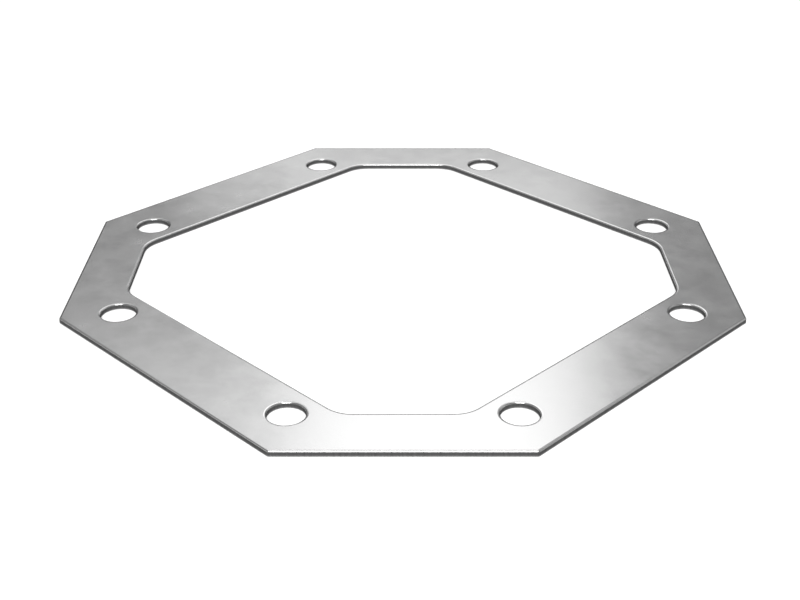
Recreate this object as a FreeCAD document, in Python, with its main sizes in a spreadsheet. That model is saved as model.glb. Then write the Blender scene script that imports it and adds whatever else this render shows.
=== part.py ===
import FreeCAD, Part
import math
import os
import Sketcher

# An octagonal plate gasket: one flat sheet of steel, a square with its corners cut off,
# with an opening of the same outline and eight bolt holes in pairs along the four long
# sides. It is cut from above, so its upper edges are drawn round and its lower edges stay
# nearly sharp. The plate lies on the XY plane, with its middle at the origin and its long
# sides along X and Y. Lengths are in millimetres.

# Driving dimensions

SIZES = {
    "plate_side": 200.0,  # across the plate, from one long side to the opposite one
    "plate_thickness": 1.8,  # the sheet's gauge
    "corner_cut": 50.0,  # how far each cut corner reaches along the sides of the square
    "outer_corner_radius": 0.8,  # the small rounding of the eight outer corners, seen from above
    "side_band": 25.0,  # width of metal between a long side and the opening
    "corner_band": 17.7,  # width of metal between a cut corner and the opening
    "opening_corner_radius": 10.0,  # rounding of the opening's eight corners
    "hole_diameter": 11.0,  # clearance hole for a 10 mm bolt
    "hole_to_opening": 10.0,  # a hole's centre to the line of the opening's long side
    "hole_to_corner": 10.0,  # a hole's centre to the end of its long side, along that side
    "upper_edge_rounding": 0.5,  # radius of every edge of the top face
    "lower_edge_rounding": 0.1,  # radius of every edge of the underside
}

SHEET = "Sizes"
LONG_SIDES = 4
TOLERANCE = 1e-4

# How a sketch constraint names a point of a line or circle, and the sketch's own axes

START, END, CENTRE = range(1, 4)
X_AXIS, Y_AXIS = range(-1, -3, -1)
ORIGIN = (X_AXIS, START)


def size(alias):
    """A driving dimension, as an expression that reads the spreadsheet."""
    return f"{SHEET}.{alias}"


# Sizes that follow from the driving ones, as expressions

HALF_SIDE = f"{size('plate_side')} / 2"
OPENING_HALF_SIDE = f"({HALF_SIDE} - {size('side_band')})"
# The corner band is measured square to the cut corner, so it spans its width times the
# square root of two along the square's sides.
OPENING_CORNER_CUT = (
    f"({size('corner_cut')} - 2 * {size('side_band')} + sqrt(2) * {size('corner_band')})"
)
HOLE_ACROSS = f"({OPENING_HALF_SIDE} + {size('hole_to_opening')})"
HOLE_ALONG = f"({HALF_SIDE} - {size('corner_cut')} - {size('hole_to_corner')})"


def make_sheet(document):
    """The spreadsheet of driving dimensions: a name and a plain number on each row."""
    sheet = document.addObject("Spreadsheet::Sheet", SHEET)
    for row, (alias, value) in enumerate(SIZES.items(), start=1):
        sheet.set(f"A{row}", alias)
        sheet.set(f"B{row}", str(value))
        sheet.setAlias(f"B{row}", alias)
    document.recompute()
    return sheet


def ground_sketch(body, name):
    """An empty sketch on the body's own XY plane."""
    sketch = body.newObject("Sketcher::SketchObject", name)
    plane = next(f for f in body.Origin.OriginFeatures if f.Role == "XY_Plane")
    sketch.AttachmentSupport = [(plane, "")]
    sketch.MapMode = "FlatFace"
    return sketch


def add_dimension(sketch, name, constraint, expression):
    """Adds a named dimension and binds it to the spreadsheet."""
    index = sketch.addConstraint(constraint)
    sketch.renameConstraint(index, name)
    sketch.setExpression(f"Constraints.{name}", expression)


def draw_cut_square(sketch, half_side, corner_cut):
    """Draws a square with its four corners cut off, centred on the origin.

    half_side and corner_cut are expressions, and the lines are drawn where these put them
    before the constraints take over."""
    far = sketch.evalExpression(half_side)
    cut = sketch.evalExpression(corner_cut)
    near = far - cut
    corners = [
        (near, -far),
        (far, -near),
        (far, near),
        (near, far),
        (-near, far),
        (-far, near),
        (-far, -near),
        (-near, -far),
    ]
    points = [FreeCAD.Vector(x, y, 0) for x, y in corners]
    count = len(points)
    for i in range(count):
        sketch.addGeometry(Part.LineSegment(points[i], points[(i + 1) % count]), False)
    for i in range(count):
        following = (i + 1) % count
        sketch.addConstraint(Sketcher.Constraint("Coincident", i, END, following, START))
    # Each corner mirrors the opposite one through the origin.
    for i in range(count // 2):
        corner, opposite = (i, START), (i + count // 2, START)
        sketch.addConstraint(Sketcher.Constraint("Symmetric", *corner, *opposite, *ORIGIN))
    # The side facing +X is halved by the X axis, and the side facing -Y by the Y axis.
    right_side, near_side, cut_corner = 1, count - 1, 0
    for side, axis in ((right_side, X_AXIS), (near_side, Y_AXIS)):
        sketch.addConstraint(Sketcher.Constraint("Symmetric", side, START, side, END, axis))
    cut_start, cut_end = (cut_corner, START), (cut_corner, END)
    add_dimension(
        sketch,
        "half_side_x",
        Sketcher.Constraint("DistanceX", *ORIGIN, *cut_end, far),
        half_side,
    )
    add_dimension(
        sketch,
        "half_side_y",
        Sketcher.Constraint("DistanceY", *cut_start, *ORIGIN, far),
        half_side,
    )
    add_dimension(
        sketch,
        "corner_cut_x",
        Sketcher.Constraint("DistanceX", *cut_start, *cut_end, cut),
        corner_cut,
    )
    add_dimension(
        sketch,
        "corner_cut_y",
        Sketcher.Constraint("DistanceY", *cut_start, *cut_end, cut),
        corner_cut,
    )


def upright_edges(shape, apart_from=()):
    """Names of the shape's straight edges that run along Z, apart from those at given places."""
    names = []
    for index, edge in enumerate(shape.Edges, start=1):
        if len(edge.Vertexes) != 2:
            continue
        first, last = (v.Point for v in edge.Vertexes)
        upright = math.hypot(first.x - last.x, first.y - last.y) < TOLERANCE
        place = (round(first.x, 3), round(first.y, 3))
        if upright and abs(first.z - last.z) > TOLERANCE and place not in apart_from:
            names.append((f"Edge{index}", place))
    return names


def level_edges(shape, height):
    """Names of the shape's edges that lie flat at a height."""
    names = []
    for index, edge in enumerate(shape.Edges, start=1):
        low, high = edge.BoundBox.ZMin, edge.BoundBox.ZMax
        if abs(low - height) < TOLERANCE and abs(high - height) < TOLERANCE:
            names.append(f"Edge{index}")
    return names


def add_fillet(body, name, base, edges, radius):
    """Rounds the named edges of a feature."""
    fillet = body.newObject("PartDesign::Fillet", name)
    fillet.Base = (base, edges)
    fillet.setExpression("Radius", radius)
    return fillet


def make_blank(document, body):
    """The sheet before anything is cut out of it: a square with its corners cut off."""
    outline = ground_sketch(body, "Outline")
    draw_cut_square(outline, HALF_SIDE, size("corner_cut"))
    blank = body.newObject("PartDesign::Pad", "Blank")
    blank.Profile = outline
    blank.setExpression("Length", size("plate_thickness"))
    document.recompute()
    corners = [name for name, place in upright_edges(blank.Shape)]
    add_fillet(body, "OuterCorners", blank, corners, size("outer_corner_radius"))
    document.recompute()


def make_opening(document, body):
    """The opening through the middle, with its corners rounded."""
    before = {place for name, place in upright_edges(body.Tip.Shape)}
    outline = ground_sketch(body, "OpeningOutline")
    draw_cut_square(outline, OPENING_HALF_SIDE, OPENING_CORNER_CUT)
    opening = body.newObject("PartDesign::Pocket", "Opening")
    opening.Profile = outline
    opening.Type = "ThroughAll"
    opening.Reversed = True
    document.recompute()
    corners = [name for name, place in upright_edges(opening.Shape, apart_from=before)]
    add_fillet(body, "OpeningCorners", opening, corners, size("opening_corner_radius"))
    document.recompute()


def make_holes(document, body):
    """Two bolt holes along one long side, then the same on the other three."""
    centres = ground_sketch(body, "HoleCentres")
    across = centres.evalExpression(HOLE_ACROSS)
    along = centres.evalExpression(HOLE_ALONG)
    diameter = centres.evalExpression(size("hole_diameter"))
    for sign in (1, -1):
        centre = FreeCAD.Vector(sign * along, -across, 0)
        circle = Part.Circle(centre, FreeCAD.Vector(0, 0, 1), diameter / 2)
        centres.addGeometry(circle, False)
    right, left = 0, 1
    right_centre, left_centre = (right, CENTRE), (left, CENTRE)
    centres.addConstraint(
        Sketcher.Constraint("Symmetric", *right_centre, *left_centre, Y_AXIS)
    )
    centres.addConstraint(Sketcher.Constraint("Equal", right, left))
    add_dimension(
        centres,
        "hole_along",
        Sketcher.Constraint("DistanceX", *ORIGIN, *right_centre, along),
        HOLE_ALONG,
    )
    add_dimension(
        centres,
        "hole_across",
        Sketcher.Constraint("DistanceY", *right_centre, *ORIGIN, across),
        HOLE_ACROSS,
    )
    add_dimension(
        centres,
        "hole_diameter",
        Sketcher.Constraint("Diameter", right, diameter),
        size("hole_diameter"),
    )
    holes = body.newObject("PartDesign::Pocket", "BoltHoles")
    holes.Profile = centres
    holes.Type = "ThroughAll"
    holes.Reversed = True
    document.recompute()
    pattern = body.newObject("PartDesign::PolarPattern", "BoltHolePairs")
    pattern.Originals = [holes]
    pattern.Axis = (centres, ["N_Axis"])
    pattern.Angle = 360
    pattern.Occurrences = LONG_SIDES
    body.Tip = pattern
    document.recompute()


def make_plate(document):
    """The whole plate gasket, as one body."""
    body = document.addObject("PartDesign::Body", "GasketPlate")
    body.Label = "gasket_plate"
    make_blank(document, body)
    make_opening(document, body)
    make_holes(document, body)
    top = level_edges(body.Tip.Shape, body.Tip.Shape.BoundBox.ZMax)
    add_fillet(body, "UpperEdges", body.Tip, top, size("upper_edge_rounding"))
    document.recompute()
    underside = level_edges(body.Tip.Shape, body.Tip.Shape.BoundBox.ZMin)
    add_fillet(body, "LowerEdges", body.Tip, underside, size("lower_edge_rounding"))
    document.recompute()
    return body


def check_document(document):
    """Stops if any object of the document failed to compute."""
    failed = [
        o.Name for o in document.Objects if "Invalid" in o.State or "Error" in o.State
    ]
    if failed:
        raise RuntimeError(f"these objects failed: {failed}")


def export(body):
    """Writes a finished body to parts/, under its label."""
    shape = body.Shape
    if shape.isNull() or not shape.isValid() or len(shape.Solids) != 1:
        raise RuntimeError(f"{body.Label} isn't one valid solid")
    os.makedirs("parts", exist_ok=True)
    shape.exportStep(f"parts/{body.Label}.step")
    box = shape.optimalBoundingBox(False, False)
    print(
        f"{body.Label}: {box.XLength:.2f} x {box.YLength:.2f} x {box.ZLength:.2f} mm, "
        f"{shape.Volume:.1f} mm3, {len(shape.Faces)} faces"
    )


document = FreeCAD.newDocument("PlateGasket")
make_sheet(document)
plate = make_plate(document)
check_document(document)
export(plate)
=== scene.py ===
# %% [markdown]
# # A plate gasket of sheet steel
#
# The object is one flat piece: an octagonal plate cut from cold-rolled sheet, with a large
# opening and eight bolt holes. It lies on a white table and is seen along its diagonal, with
# one cut corner towards the camera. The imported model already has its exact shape, down to the
# small rounding of every edge, so no piece is modelled again here. What Blender adds is the
# finish of the metal, the light that shows it and the camera.

import math

import bmesh
import bpy
from mathutils import Matrix, Vector


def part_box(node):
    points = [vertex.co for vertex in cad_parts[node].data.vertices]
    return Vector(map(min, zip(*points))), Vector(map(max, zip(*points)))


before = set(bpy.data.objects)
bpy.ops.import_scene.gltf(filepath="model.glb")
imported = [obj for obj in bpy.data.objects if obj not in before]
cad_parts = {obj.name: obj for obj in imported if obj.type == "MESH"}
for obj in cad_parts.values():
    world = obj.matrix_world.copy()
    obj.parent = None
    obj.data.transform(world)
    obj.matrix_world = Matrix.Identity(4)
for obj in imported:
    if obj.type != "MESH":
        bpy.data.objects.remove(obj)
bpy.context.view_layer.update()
plate_low, plate_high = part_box("gasket_plate")
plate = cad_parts["gasket_plate"]
print("plate, mm:", [round(1000 * side, 2) for side in plate_high - plate_low])

# %% [markdown]
# ## Directions as the camera sees them
#
# The plate's own X and Y run along its long sides, but the camera looks along a diagonal.
# Lamps and camera are easier to place as "so far to the right, so far away, so high", so one
# small helper turns such a place into the plate's frame. It only turns about Z, by the angle
# from which the camera looks.

# %% A place given as the camera sees it
CAMERA_AZIMUTH = math.radians(45)


def seen_from_front(right, away, up):
    """The point that lies this far right of, behind and above the middle of the table."""
    return Matrix.Rotation(CAMERA_AZIMUTH, 3, "Z") @ Vector((right, away, up))


print("a metre behind the plate is", [round(c, 3) for c in seen_from_front(0, 1, 0)])

# %% [markdown]
# ## The camera
#
# A product photograph of a flat part is taken from fairly close, with a short telephoto lens,
# looking down at about thirty degrees. The camera's place could be found by eye, but the
# plate's straight sides and round holes give it almost exactly: only one place, tilt and lens
# put all of them where the photograph shows them.

# %% Camera
CAMERA_LEFT = 0.00087
CAMERA_BACK = 0.37803
CAMERA_HEIGHT = 0.19365
CAMERA_TILT_DOWN = math.radians(28.429)
CAMERA_LENS_MM = 57.31
CAMERA_SENSOR_MM = 36
CAMERA_SEES_FROM, CAMERA_SEES_TO = 0.01, 50

camera_data = bpy.data.cameras.new("camera")
camera_data.lens = CAMERA_LENS_MM
camera_data.sensor_width = CAMERA_SENSOR_MM
camera_data.clip_start = CAMERA_SEES_FROM
camera_data.clip_end = CAMERA_SEES_TO
camera = bpy.data.objects.new("camera", camera_data)
bpy.context.collection.objects.link(camera)
camera.location = seen_from_front(-CAMERA_LEFT, -CAMERA_BACK, CAMERA_HEIGHT)
camera.rotation_euler = (math.pi / 2 - CAMERA_TILT_DOWN, 0, CAMERA_AZIMUTH)
bpy.context.scene.camera = camera
print("camera at, mm:", [round(1000 * c, 1) for c in camera.location])

# %% [markdown]
# ## Helpers for a material
#
# A material is a tree of nodes, and each node does one small sum. Written out one by one, the
# sums hide what they are for. These helpers add a node and return what it gives, so that the
# steel below can be read like ordinary arithmetic.

# %% Helpers that add a node


def connect(tree, socket, value):
    """Links an output to the socket, or sets the socket to a plain value."""
    if isinstance(value, bpy.types.NodeSocket):
        tree.links.new(value, socket)
    else:
        socket.default_value = value


def add_node(tree, kind, **inputs):
    """Adds a node and sets or links its inputs, given by name."""
    node = tree.nodes.new(kind)
    for name, value in inputs.items():
        connect(tree, node.inputs[name.replace("_", " ")], value)
    return node


def arithmetic(tree, operation, first, second=0):
    """The result of a Math node."""
    node = tree.nodes.new("ShaderNodeMath")
    node.operation = operation
    connect(tree, node.inputs[0], first)
    connect(tree, node.inputs[1], second)
    return node.outputs[0]


def remap(tree, value, from_low, from_high, to_low, to_high):
    """Stretches a range of values to another, and holds it at the ends."""
    node = tree.nodes.new("ShaderNodeMapRange")
    for socket, number in zip(node.inputs, (value, from_low, from_high, to_low, to_high)):
        connect(tree, socket, number)
    return node.outputs[0]


def blend(tree, share, first, second):
    """The first value where share is 0, the second where it is 1."""
    return remap(tree, share, 0, 1, first, second)


def grey(tree, value):
    """A grey colour whose three parts are all the given value."""
    node = tree.nodes.new("ShaderNodeCombineColor")
    for socket in node.inputs:
        connect(tree, socket, value)
    return node.outputs[0]


helpers = (connect, add_node, arithmetic, remap, blend, grey)
print("helpers:", [helper.__name__ for helper in helpers])

# %% [markdown]
# ## The rolled border
#
# The press that cut the plate also bent the sheet down a little along every cut, and rubbed
# it smooth. On the flat face, this border is only a fifth of a millimetre wide, but it is why
# a thin dark line runs along each rim that faces away: it mirrors a lower part of the room
# than the rest of the face does. It could be modelled as a ring of narrow faces, but at this
# size a bump in the material does it.
#
# The material then has to know how far a point is from the nearest cut. The plate repeats
# itself eight times around its middle. Taking the sizes of X and Y, and then the larger and
# the smaller of them, folds all of it onto one eighth, with one side, one cut corner and one
# hole, and the distance to each of these is a short sum.

# %% Distances on one eighth of the plate
HALF_SIDE = plate_high.x
CORNER_CUT = 0.050
SIDE_BAND = 0.025
CORNER_BAND = 0.0177
OPENING_CORNER_RADIUS = 0.010
HOLE_ALONG = 0.040
HOLE_ACROSS = 0.085
HOLE_RADIUS = 0.0055

ROOT_TWO = math.sqrt(2)
CUT_CORNER_LINE = (2 * HALF_SIDE - CORNER_CUT) / ROOT_TWO


def to_outline(tree, far, slanted):
    """The distance inwards from the long side or the cut corner."""
    to_side = arithmetic(tree, "SUBTRACT", HALF_SIDE, far)
    to_cut_corner = arithmetic(tree, "SUBTRACT", CUT_CORNER_LINE, slanted)
    return arithmetic(tree, "MINIMUM", to_side, to_cut_corner)


def to_opening(tree, far, slanted):
    """The distance outwards from the opening, whose corners are round.

    Its two straight sides are moved in by the corner's radius and then cross in the corner's
    centre, from which the distance is measured where a point lies in the corner."""
    side_line = HALF_SIDE - SIDE_BAND - OPENING_CORNER_RADIUS
    cut_line = CUT_CORNER_LINE - CORNER_BAND - OPENING_CORNER_RADIUS
    past_side = arithmetic(tree, "SUBTRACT", far, side_line)
    past_cut = arithmetic(tree, "SUBTRACT", slanted, cut_line)
    farther = arithmetic(tree, "MAXIMUM", past_side, past_cut)
    nearer = arithmetic(tree, "MINIMUM", past_side, past_cut)

    # The law of cosines, for two lines that meet at 45 degrees.
    squares = [arithmetic(tree, "MULTIPLY", leg, leg) for leg in (farther, nearer)]
    both = arithmetic(tree, "MULTIPLY", farther, nearer)
    both = arithmetic(tree, "MULTIPLY", both, ROOT_TWO)
    from_centre = arithmetic(tree, "SUBTRACT", arithmetic(tree, "ADD", *squares), both)
    from_centre = arithmetic(tree, "SQRT", arithmetic(tree, "MULTIPLY", from_centre, 2))

    corner_starts = arithmetic(tree, "DIVIDE", farther, ROOT_TWO)
    in_corner = arithmetic(tree, "GREATER_THAN", nearer, corner_starts)
    distance = blend(tree, in_corner, farther, from_centre)
    return arithmetic(tree, "SUBTRACT", distance, OPENING_CORNER_RADIUS)


def to_hole(tree, far, near):
    """The distance outwards from the bolt hole."""
    across = arithmetic(tree, "SUBTRACT", far, HOLE_ACROSS)
    along = arithmetic(tree, "SUBTRACT", near, HOLE_ALONG)
    squares = [arithmetic(tree, "MULTIPLY", leg, leg) for leg in (across, along)]
    from_centre = arithmetic(tree, "SQRT", arithmetic(tree, "ADD", *squares))
    return arithmetic(tree, "SUBTRACT", from_centre, HOLE_RADIUS)


across_cut_corners = 2 * CUT_CORNER_LINE
print("across the cut corners, mm:", round(1000 * across_cut_corners, 1))

# %% How far a point of the face is from the nearest cut


def cut_distance(tree, place):
    """The distance to the outline, the opening or the hole, whichever is nearest."""
    parts = add_node(tree, "ShaderNodeSeparateXYZ", Vector=place)
    across, along = (arithmetic(tree, "ABSOLUTE", parts.outputs[axis]) for axis in "XY")
    far = arithmetic(tree, "MAXIMUM", across, along)
    near = arithmetic(tree, "MINIMUM", across, along)
    slanted = arithmetic(tree, "DIVIDE", arithmetic(tree, "ADD", far, near), ROOT_TWO)
    distance = to_outline(tree, far, slanted)
    for other in (to_opening(tree, far, slanted), to_hole(tree, far, near)):
        distance = arithmetic(tree, "MINIMUM", distance, other)
    return distance


hole_to_opening = HOLE_ACROSS - HOLE_RADIUS - (HALF_SIDE - SIDE_BAND)
print("metal between a hole and the opening, mm:", round(1000 * hole_to_opening, 1))

# %% [markdown]
# ## The cut walls
#
# The walls of the opening, the holes and the outline were torn through the sheet. They are
# matt, with fine marks that run straight down. Their dark grey is painted shade, and the
# lighter grey at their foot is a painted reflection of the white table.
# A picture of such marks could be laid on the wall, but noise that is stretched along the
# height looks the same at this size and has no seam.

# %% The painted shade of a cut wall
# The dark grey of the walls is painted shade; the lighter grey at their foot is a painted
# reflection of the white table.
WALL_PAINTED_SHADE_GREY = 0.08
WALL_FOOT_PAINTED_REFLECTION_GREY = 0.2
FOOT_PAINTED_REFLECTION_FULL, FOOT_PAINTED_REFLECTION_ENDS = 0.0001, 0.0006
CUT_MARK_SIZE = 0.0006
CUT_MARK_STRETCH = 20
MARK_NOISE_LOW, MARK_NOISE_HIGH = 0.2, 0.8
MARK_DARKEST, MARK_LIGHTEST = 0.75, 1.25
FINE_DETAIL = 2


def noise(tree, place, feature, detail, roughness=0.5):
    """Cloudy noise from 0 to 1 whose blotches are about as large as feature, in metres."""
    node = add_node(tree, "ShaderNodeTexNoise", Vector=place, Scale=1 / feature)
    node.inputs["Detail"].default_value = detail
    node.inputs["Roughness"].default_value = roughness
    return node.outputs["Fac"]


def wall_marks_and_painted_shade(tree, place, height):
    """How light a cut wall is at a height above its foot: painted shade, lighter at the foot as
    a painted reflection of the table, with the cut marks.
    """
    # Painted shade, lightened towards the foot as a painted reflection of the table.
    plain = remap(
        tree, height, FOOT_PAINTED_REFLECTION_FULL, FOOT_PAINTED_REFLECTION_ENDS, WALL_FOOT_PAINTED_REFLECTION_GREY, WALL_PAINTED_SHADE_GREY
    )
    stretched = add_node(tree, "ShaderNodeMapping", Vector=place)
    stretched.inputs["Scale"].default_value = (1, 1, 1 / CUT_MARK_STRETCH)
    marks = noise(tree, stretched.outputs[0], CUT_MARK_SIZE, FINE_DETAIL)
    marks = remap(
        tree, marks, MARK_NOISE_LOW, MARK_NOISE_HIGH, MARK_DARKEST, MARK_LIGHTEST
    )
    return arithmetic(tree, "MULTIPLY", plain, marks)


# The dark wall grey is painted shade, and the lighter foot a painted reflection of the table.
print("cut walls: grey", WALL_PAINTED_SHADE_GREY, "and", WALL_FOOT_PAINTED_REFLECTION_GREY, "at the foot")

# %% [markdown]
# ## Where on the plate a point lies
#
# Face and wall could be two materials on two sets of faces, but between them lies the rounded
# edge, and the change falls somewhere on it, with no line. So there is one material, and the
# direction in which the surface faces tells it where it is: up or down on a face, sideways on
# a wall. The distance from the nearest cut tells it where the rolled border begins. It is
# full from where the rounded edge starts, half a millimetre from the cut.

# %% Wall, top, border and rubbed metal
WALL_UP_TO, METAL_FROM = 0.22, 0.4
TOP_FROM = 0.5
BORDER_START, BORDER_FULL = 0.0007, 0.0005
RUBBED_FULL = 0.4


def lie_of_the_surface(tree, place, normal):
    """How far a point is on a wall, on the top, in the border and rubbed smooth, 0 to 1."""
    upright = add_node(tree, "ShaderNodeSeparateXYZ", Vector=normal).outputs["Z"]
    either_way = arithmetic(tree, "ABSOLUTE", upright)
    wall = remap(tree, either_way, WALL_UP_TO, METAL_FROM, 1, 0)
    on_top = arithmetic(tree, "GREATER_THAN", upright, TOP_FROM)
    border = remap(tree, cut_distance(tree, place), BORDER_START, BORDER_FULL, 0, 1)
    rubbed = remap(tree, border, 0, RUBBED_FULL, 0, 1)
    return wall, on_top, border, rubbed


print("border on the face, mm:", round(1000 * (BORDER_START - BORDER_FULL), 2))

# %% [markdown]
# ## The steel
#
# Cold-rolled steel is smooth but not a mirror: a large soft lamp shows in it as a bright area
# with a blurred outline. Seen closely, its face is faintly cloudy, because its grain and the
# film of oil on it aren't even, so the clouds change its grey, its roughness and its level a
# little, all together. A picture of steel could be laid on the face instead, but the clouds
# are so faint and shapeless that noise looks the same, and noise never repeats itself.
#
# The rolled border and the rounded edge are smoother than the face, and mirror less where
# they are seen along the surface, which keeps the rims that face away dark.

# %% The steel as a material
STEEL_GREY, STEEL_GREY_CHANGE = 0.585, 0.04
STEEL_ROUGHNESS, STEEL_ROUGHNESS_CHANGE = 0.25, 0.03
BORDER_ROUGHNESS = 0.13
WALL_ROUGHNESS = 0.6
BORDER_DROP = 35e-6
CLOUD_SIZE, CLOUD_HEIGHT = 0.009, 2e-6
CLOUD_DETAIL, CLOUD_RAGGEDNESS = 5, 0.6
CLOUD_NOISE_LOW, CLOUD_NOISE_HIGH = 0.25, 0.75
GRAIN_SIZE, GRAIN_HEIGHT = 0.0012, 0.15e-6


def follow(tree, cloud, middle, change):
    """A value that follows the clouds, up to change below and above the middle."""
    low, high = middle - change, middle + change
    return remap(tree, cloud, CLOUD_NOISE_LOW, CLOUD_NOISE_HIGH, low, high)


def raised(tree, *waves):
    """A surface with several heights on it, each given with how high its 1 is, in metres."""
    surface = None
    for wave, height in waves:
        node = add_node(tree, "ShaderNodeBump", Height=wave, Distance=height)
        if surface is not None:
            connect(tree, node.inputs["Normal"], surface)
        surface = node.outputs[0]
    return surface


def make_steel():
    """The plate's metal: bright faces, a smooth rolled border and cut walls darkened with
    painted shade.
    """
    material = bpy.data.materials.new("cold-rolled steel")
    material.use_nodes = True
    tree = material.node_tree
    shader = tree.nodes["Principled BSDF"]
    # The walls are fully matt, and what metal mirrors doesn't depend on this input.
    shader.inputs["Specular IOR Level"].default_value = 0
    coordinates = tree.nodes.new("ShaderNodeTexCoord")
    place = coordinates.outputs["Object"]
    height = add_node(tree, "ShaderNodeSeparateXYZ", Vector=place).outputs["Z"]
    wall, on_top, border, rubbed = lie_of_the_surface(
        tree, place, coordinates.outputs["Normal"]
    )

    cloud = noise(tree, place, CLOUD_SIZE, CLOUD_DETAIL, CLOUD_RAGGEDNESS)
    face_grey = follow(tree, cloud, STEEL_GREY, STEEL_GREY_CHANGE)
    # On the walls the grey is painted shade, with a painted reflection of the table at the
    # foot.
    grey_here = blend(tree, wall, face_grey, wall_marks_and_painted_shade(tree, place, height))
    connect(tree, shader.inputs["Base Color"], grey(tree, grey_here))
    connect(tree, shader.inputs["Metallic"], blend(tree, wall, 1, 0))
    connect(tree, shader.inputs["Specular Tint"], grey(tree, blend(tree, rubbed, 1, 0)))

    face_roughness = follow(tree, cloud, STEEL_ROUGHNESS, STEEL_ROUGHNESS_CHANGE)
    metal_roughness = blend(tree, rubbed, face_roughness, BORDER_ROUGHNESS)
    roughness_here = blend(tree, wall, metal_roughness, WALL_ROUGHNESS)
    connect(tree, shader.inputs["Roughness"], roughness_here)

    drop = arithmetic(tree, "MULTIPLY", arithmetic(tree, "MULTIPLY", border, on_top), -1)
    grain = noise(tree, place, GRAIN_SIZE, FINE_DETAIL)
    surface = raised(tree, (drop, BORDER_DROP), (cloud, CLOUD_HEIGHT), (grain, GRAIN_HEIGHT))
    connect(tree, shader.inputs["Normal"], surface)
    return material


steel = make_steel()
for material_slot in plate.material_slots:
    material_slot.material = steel
print("finished:", plate.name, "in", steel.name, "of", len(steel.node_tree.nodes), "nodes")

# %% [markdown]
# ## The table
#
# The plate is shown on plain white. A white sheet of paper under soft light would do it, but
# a real white surface only sends back the light that falls on it, and so looks slightly grey.
# The table is therefore a white surface that also glows a little, just enough to take its lit
# part to full white and to leave the plate's soft shadow visible. More glow would eat into
# the plate's thin outline, because a pixel that is half table would already be white. The
# glow shows to the camera and in whatever mirrors the table, but lights nothing.

# %% White table
TABLE_SIDE = 12.0
TABLE_DROP = 0.00002
TABLE_WHITE = 0.8
TABLE_GLOW = 0.26


def glow_where_seen(tree, lit_surface, strength):
    """Adds a white glow to a surface, for the camera and for what reflects or lets through."""
    rays = tree.nodes.new("ShaderNodeLightPath")
    seen = rays.outputs["Is Camera Ray"]
    for also in ("Is Glossy Ray", "Is Transmission Ray"):
        seen = arithmetic(tree, "MAXIMUM", seen, rays.outputs[also])
    glow_strength = arithmetic(tree, "MULTIPLY", seen, strength)
    glow = add_node(tree, "ShaderNodeEmission", Strength=glow_strength)
    both = tree.nodes.new("ShaderNodeAddShader")
    tree.links.new(lit_surface, both.inputs[0])
    tree.links.new(glow.outputs[0], both.inputs[1])
    return both.outputs[0]


def make_table():
    """A large square of matt white just under the plate."""
    shape = bmesh.new()
    bmesh.ops.create_grid(shape, x_segments=1, y_segments=1, size=TABLE_SIDE / 2)
    bmesh.ops.translate(shape, verts=shape.verts, vec=(0, 0, plate_low.z - TABLE_DROP))
    mesh = bpy.data.meshes.new("table")
    shape.to_mesh(mesh)
    shape.free()
    table = bpy.data.objects.new("table", mesh)
    bpy.context.collection.objects.link(table)

    material = bpy.data.materials.new("white table")
    material.use_nodes = True
    tree = material.node_tree
    tree.nodes.remove(tree.nodes["Principled BSDF"])
    matt = tree.nodes.new("ShaderNodeBsdfDiffuse")
    matt.inputs["Color"].default_value = (TABLE_WHITE, TABLE_WHITE, TABLE_WHITE, 1)
    surface = glow_where_seen(tree, matt.outputs[0], TABLE_GLOW)
    tree.links.new(surface, tree.nodes["Material Output"].inputs["Surface"])
    mesh.materials.append(material)
    return table


table = make_table()
table_height = table.data.vertices[0].co.z
print(table.name, "is", TABLE_SIDE, "m square, at height, mm:", round(1000 * table_height, 3))

# %% [markdown]
# ## The light
#
# What makes metal look like metal is what it reflects, so the lamps are placed by where they
# show. A flat plate seen at this angle mirrors what stands behind it, low down: here a wide
# and a tall soft lamp, so that the front of the plate is white and its sides fall off to the
# grey of the room, and a small low one, which lightens the back.
#
# The rounded edges sweep the whole room within a millimetre. Those that face the camera pass
# the overhead lamp and then the lamp behind the camera, and show them as one bright line.
# Those of the slanted sides pass the dim panels on both sides of the back lamps, and so stay
# grey. The lamp behind the camera hangs high enough that the face doesn't mirror it squarely
# when somebody looks from behind, where it would turn the whole plate white.
#
# All lamps are rectangles, because a soft box is one, and none shows to the camera.

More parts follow.
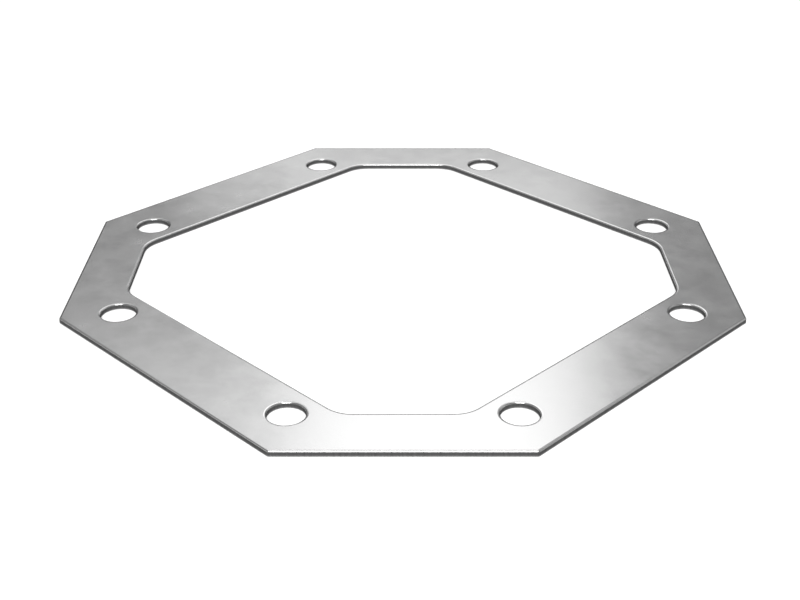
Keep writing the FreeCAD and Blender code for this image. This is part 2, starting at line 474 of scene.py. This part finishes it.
# %% Lamps
LAMPS = {
    # name: place seen from the front, (width, height), brightness
    "wide back lamp": ((-0.098, 1.05, 0.991), (0.85, 0.58), 0.78),
    "tall back lamp": ((0.054, 1.05, 0.812), (0.41, 0.81), 1.0),
    "low left lamp": ((-0.182, 1.05, 0.21), (0.16, 0.42), 0.72),
    "overhead lamp": ((0, 0.1, 1.2), (0.9, 1.3), 0.9),
    "lamp behind the camera": ((0, -1.2, 1.07), (1.0, 0.76), 10.2),
    "right panel": ((1.1, 0.5, 0.85), (0.9, 0.9), 0.3),
    "upper right panel": ((0.56, 0.8, 1.08), (0.6, 0.5), 0.25),
    "upper left panel": ((-0.66, 0.75, 1.08), (0.5, 0.5), 0.38),
}


def soft_lamp(name, place, aim, width, height, brightness):
    """A rectangular lamp that shines from place to aim.

    Brightness is how bright the lamp itself looks, where 1 is the white of the table."""
    lamp_data = bpy.data.lights.new(name, "AREA")
    lamp_data.shape = "RECTANGLE"
    lamp_data.size = width
    lamp_data.size_y = height
    lamp_data.energy = brightness * math.pi * width * height
    lamp = bpy.data.objects.new(name, lamp_data)
    bpy.context.collection.objects.link(lamp)
    lamp.location = place
    lamp.rotation_mode = "QUATERNION"
    lamp.rotation_quaternion = (Vector(aim) - Vector(place)).to_track_quat("-Z", "Y")
    lamp.visible_camera = False
    return lamp


plate_middle = (plate_low + plate_high) / 2
for name, (place, (width, height), brightness) in LAMPS.items():
    lamp = soft_lamp(name, seen_from_front(*place), plate_middle, width, height, brightness)
    print(name, "at", [round(c, 2) for c in lamp.location])

# %% [markdown]
# ## The room
#
# Where the metal mirrors no lamp, it mirrors the room. A picture of a real studio could stand
# around the scene, but plain grey walls are enough for a flat plate, and keep the light the
# same from every side.

# %% The grey of the room
ROOM_GREY = 0.335

world = bpy.data.worlds.new("room")
bpy.context.scene.world = world
world.use_nodes = True
background = world.node_tree.nodes["Background"]
background.inputs["Color"].default_value = (1, 1, 1, 1)
background.inputs["Strength"].default_value = ROOM_GREY
print("the room is grey", ROOM_GREY)

# %% [markdown]
# ## Colours as they are
#
# The Standard view shows each colour as it is computed, with no film curve on top, so that a
# grey in the metal is the grey that was meant.

# %% Finish
bpy.context.scene.view_settings.view_transform = "Standard"
